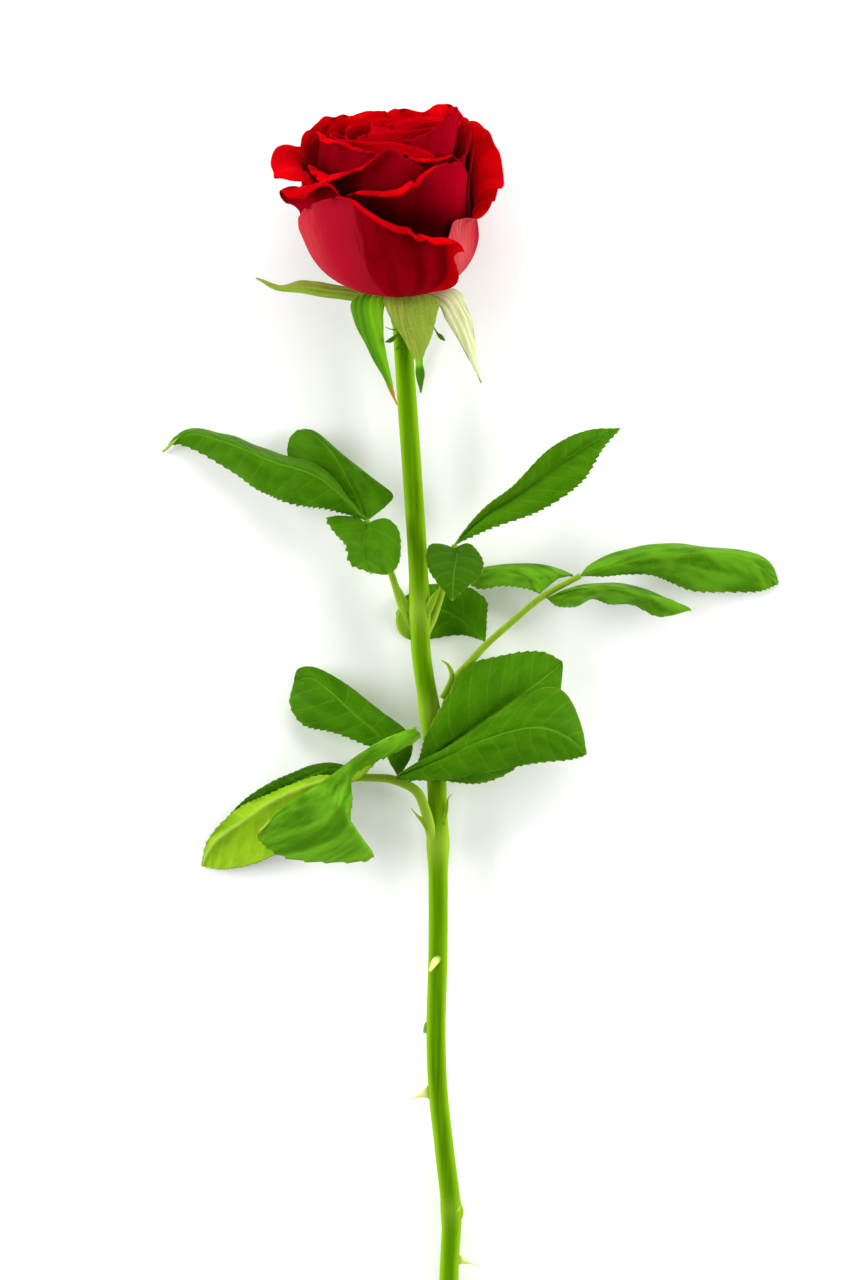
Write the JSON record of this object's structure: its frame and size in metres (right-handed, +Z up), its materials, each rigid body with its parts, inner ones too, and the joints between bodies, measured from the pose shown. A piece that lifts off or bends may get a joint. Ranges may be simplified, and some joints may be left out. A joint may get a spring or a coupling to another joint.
{
  "type": "cut rose",
  "caption": "Single red rose cut with a long leafy stem, lying on its back, for a bouquet, a vase or a table setting.",
  "frame": {"origin": "on the table, under the middle of the flower's bounding box", "axes": "+Y along the stem towards the bloom, +Z up from the table, +X to the right seen from above with the bloom at the top"},
  "size_m": [0.1853, 0.4025, 0.0617],
  "materials": {
    "petal_red": "velvety, dark crimson outside and bright red inside",
    "leaf_green": "satin, paler underneath",
    "stem_green": "smooth satin green bark",
    "sepal_green": "matt, finely hairy",
    "prickle_straw": "smooth, horny",
    "stamen_straw": "matt"
  },
  "bodies": {
    "root": {"stem": "stem_green", "hip": "stem_green", "stamens": "stamen_straw", "prickle_left": "prickle_straw", "prickle_stub": "prickle_straw", "prickle_front": "prickle_straw", "prickle_right": "prickle_straw", "leaf_a_stalk": "stem_green", "leaf_b_stalk": "stem_green", "leaf_c_stalk": "stem_green", "leaf_d_stalk": "stem_green", "leaf_a_tip": "leaf_green", "leaf_a_side": "leaf_green", "leaf_a_front": "leaf_green", "leaf_b_tip": "leaf_green", "leaf_b_front": "leaf_green", "leaf_c_tip": "leaf_green", "leaf_c_right": "leaf_green", "leaf_c_left": "leaf_green", "leaf_c_back": "leaf_green", "leaf_d_tip": "leaf_green", "leaf_d_back": "leaf_green", "leaf_d_saddle": "leaf_green", "leaf_d_left": "leaf_green", "leaf_d_right": "leaf_green", "leaf_d_front": "leaf_green", "sepal_left": "sepal_green", "sepal_front_left": "sepal_green", "sepal_front": "sepal_green", "sepal_right": "sepal_green", "sepal_back": "sepal_green", "petal_01": "petal_red", "petal_02": "petal_red", "petal_03": "petal_red", "petal_04": "petal_red", "petal_05": "petal_red", "petal_06": "petal_red", "petal_07": "petal_red", "petal_08": "petal_red", "petal_09": "petal_red", "petal_10": "petal_red", "petal_11": "petal_red", "petal_12": "petal_red", "petal_13": "petal_red", "petal_14": "petal_red", "petal_heart_01": "petal_red", "petal_heart_02": "petal_red", "petal_heart_03": "petal_red", "petal_heart_04": "petal_red", "petal_heart_05": "petal_red", "petal_heart_06": "petal_red", "petal_heart_07": "petal_red", "petal_heart_08": "petal_red", "petal_heart_09": "petal_red", "petal_heart_10": "petal_red"}
  },
  "joints": []
}
